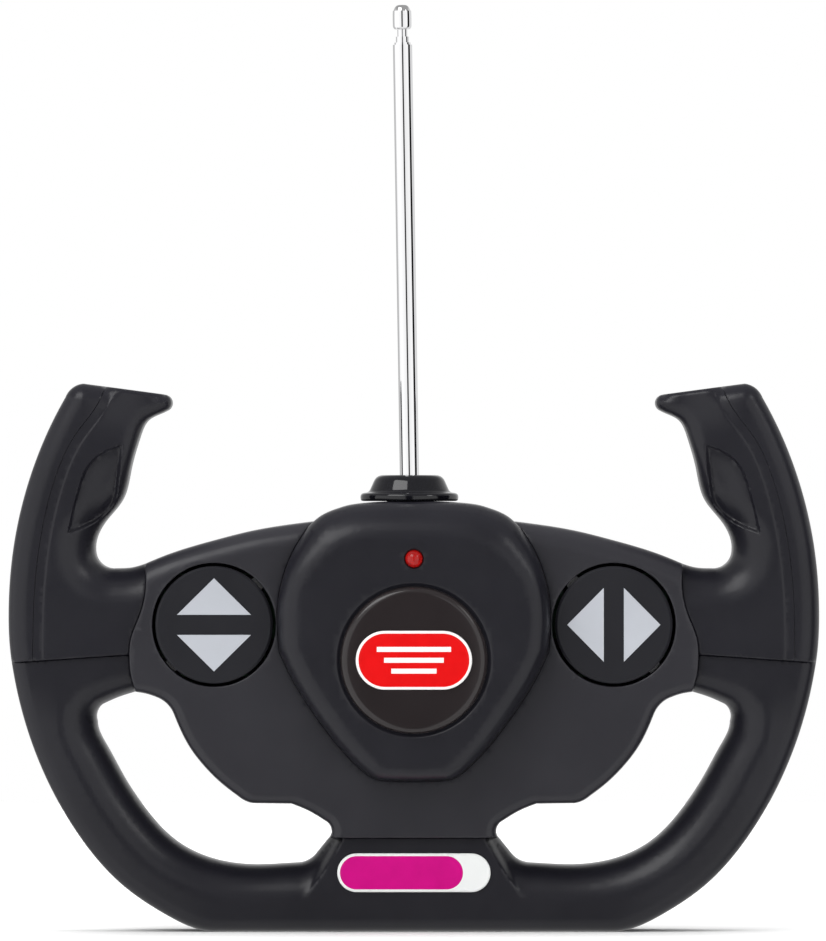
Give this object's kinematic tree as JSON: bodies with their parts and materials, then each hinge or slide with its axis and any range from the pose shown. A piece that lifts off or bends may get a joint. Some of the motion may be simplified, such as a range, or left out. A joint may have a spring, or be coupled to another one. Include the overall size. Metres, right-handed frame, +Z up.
{
  "type": "radio transmitter controller",
  "caption": "Wheel-shaped hand-held radio transmitter with two horn grips, thumb rockers for throttle and steering, a status lamp and a telescopic antenna.",
  "frame": {"origin": "centre of the flat underside of the rim, on the parting plane of the front and rear housings", "axes": "+Z up towards the antenna, +X to the holder's right, -Y out of the front towards the holder's face"},
  "size_m": [0.18, 0.0427, 0.206],
  "materials": {
    "shell_black": "fine satin moulded ABS",
    "gloss_black": "polished",
    "badge_red": "printed and lacquered",
    "badge_magenta": "printed and lacquered",
    "lamp_red": "diffused lens",
    "arrow_silver": "hot-stamped silver",
    "frame_plastic": "plain moulded",
    "key_rubber": "silicone",
    "aerial_chrome": "bright plated",
    "plated_steel": "zinc plated",
    "ferrule_brass": "plain",
    "board_green": "solder mask",
    "chip_black": "moulded",
    "resistor_tan": "lacquered",
    "coil_copper": "enamelled wire",
    "battery_case": "plain jacket",
    "lead_red": "insulated wire",
    "lead_black": "insulated wire"
  },
  "bodies": {
    "housing": {"rim_front": "shell_black", "rim_rear": "shell_black", "hub_front_cover": "shell_black", "centre_pod_cover": "shell_black", "rear_hub_shell": "shell_black", "left_grip_front": "shell_black", "left_grip_rear": "shell_black", "right_grip_front": "shell_black", "right_grip_rear": "shell_black", "emblem_disc": "gloss_black", "emblem_badge": "badge_red", "lower_badge": "badge_magenta", "status_led": "lamp_red", "led_leads": "plated_steel", "left_pivot_pin": "plated_steel", "right_pivot_pin": "plated_steel", "left_rocker_bracket": "frame_plastic", "right_rocker_bracket": "frame_plastic", "left_keypad": "key_rubber", "right_keypad": "key_rubber", "forward_key_dome": "key_rubber", "reverse_key_dome": "key_rubber", "left_key_dome": "key_rubber", "right_key_dome": "key_rubber", "antenna_collar": "gloss_black", "antenna_base_tube": "aerial_chrome", "antenna_ferrule": "ferrule_brass", "antenna_screw": "plated_steel", "main_pcb": "board_green", "controller_ic": "chip_black", "crystal_can": "plated_steel", "capacitors": "chip_black", "resistors": "resistor_tan", "rf_coil": "coil_copper", "battery_9v": "battery_case", "battery_snap": "frame_plastic", "battery_lead_red": "lead_red", "battery_lead_black": "lead_black", "antenna_lead": "lead_black", "housing_screws": "plated_steel", "pcb_screws": "plated_steel", "bracket_screws": "plated_steel"},
    "throttle_rocker": {"left_rocker_cap": "shell_black", "left_rocker_arrows": "arrow_silver"},
    "steering_rocker": {"right_rocker_cap": "shell_black", "right_rocker_arrows": "arrow_silver"},
    "forward_key": {"forward_key_boss": "key_rubber"},
    "reverse_key": {"reverse_key_boss": "key_rubber"},
    "left_key": {"left_key_boss": "key_rubber"},
    "right_key": {"right_key_boss": "key_rubber"},
    "aerial_a": {"antenna_section_a": "aerial_chrome"},
    "aerial_b": {"antenna_section_b": "aerial_chrome"},
    "aerial_tip": {"antenna_tip_rod": "aerial_chrome", "antenna_tip_knob": "aerial_chrome"},
    "battery_lid": {"battery_door": "shell_black", "battery_door_screw": "plated_steel"}
  },
  "joints": [
    {"name": "throttle_tilt", "type": "hinge", "parent": "housing", "child": "throttle_rocker", "pos_m": [-0.0443, -0.008, 0.0682], "axis": [-1, 0, 0], "range_deg": [-4.5, 4.5], "stiffness_Nm_per_rad": 0.19},
    {"name": "steering_tilt", "type": "hinge", "parent": "housing", "child": "steering_rocker", "pos_m": [0.0443, -0.008, 0.0682], "axis": [0, 0, 1], "range_deg": [-4.5, 4.5], "stiffness_Nm_per_rad": 0.19},
    {"name": "forward_key_press", "type": "slide", "parent": "housing", "child": "forward_key", "axis": [0, 1, 0], "range_m": [-0.00056, 0.00056], "deforming": ["forward_key_dome"]},
    {"name": "reverse_key_press", "type": "slide", "parent": "housing", "child": "reverse_key", "axis": [0, 1, 0], "range_m": [-0.00056, 0.00056], "deforming": ["reverse_key_dome"]},
    {"name": "left_key_press", "type": "slide", "parent": "housing", "child": "left_key", "axis": [0, 1, 0], "range_m": [-0.00056, 0.00056], "deforming": ["left_key_dome"]},
    {"name": "right_key_press", "type": "slide", "parent": "housing", "child": "right_key", "axis": [0, 1, 0], "range_m": [-0.00056, 0.00056], "deforming": ["right_key_dome"]},
    {"name": "aerial_slide_a", "type": "slide", "parent": "housing", "child": "aerial_a", "axis": [-0.0161, 0, 0.9999], "range_m": [0, 0.095]},
    {"name": "aerial_slide_b", "type": "slide", "parent": "aerial_a", "child": "aerial_b", "axis": [-0.0161, 0, 0.9999], "range_m": [0, 0.095]},
    {"name": "aerial_slide_tip", "type": "slide", "parent": "aerial_b", "child": "aerial_tip", "axis": [-0.0161, 0, 0.9999], "range_m": [0, 0.095]},
    {"name": "battery_lid_hinge", "type": "hinge", "parent": "housing", "child": "battery_lid", "pos_m": [0, 0.0182, 0.0343], "axis": [-1, 0, 0], "range_deg": [0, 90]}
  ],
  "couplings": [
    {"joint": "forward_key_press", "follows": "throttle_tilt", "m_per_rad": 0.007},
    {"joint": "reverse_key_press", "follows": "throttle_tilt", "m_per_rad": -0.007},
    {"joint": "right_key_press", "follows": "steering_tilt", "m_per_rad": 0.007},
    {"joint": "left_key_press", "follows": "steering_tilt", "m_per_rad": -0.007}
  ]
}
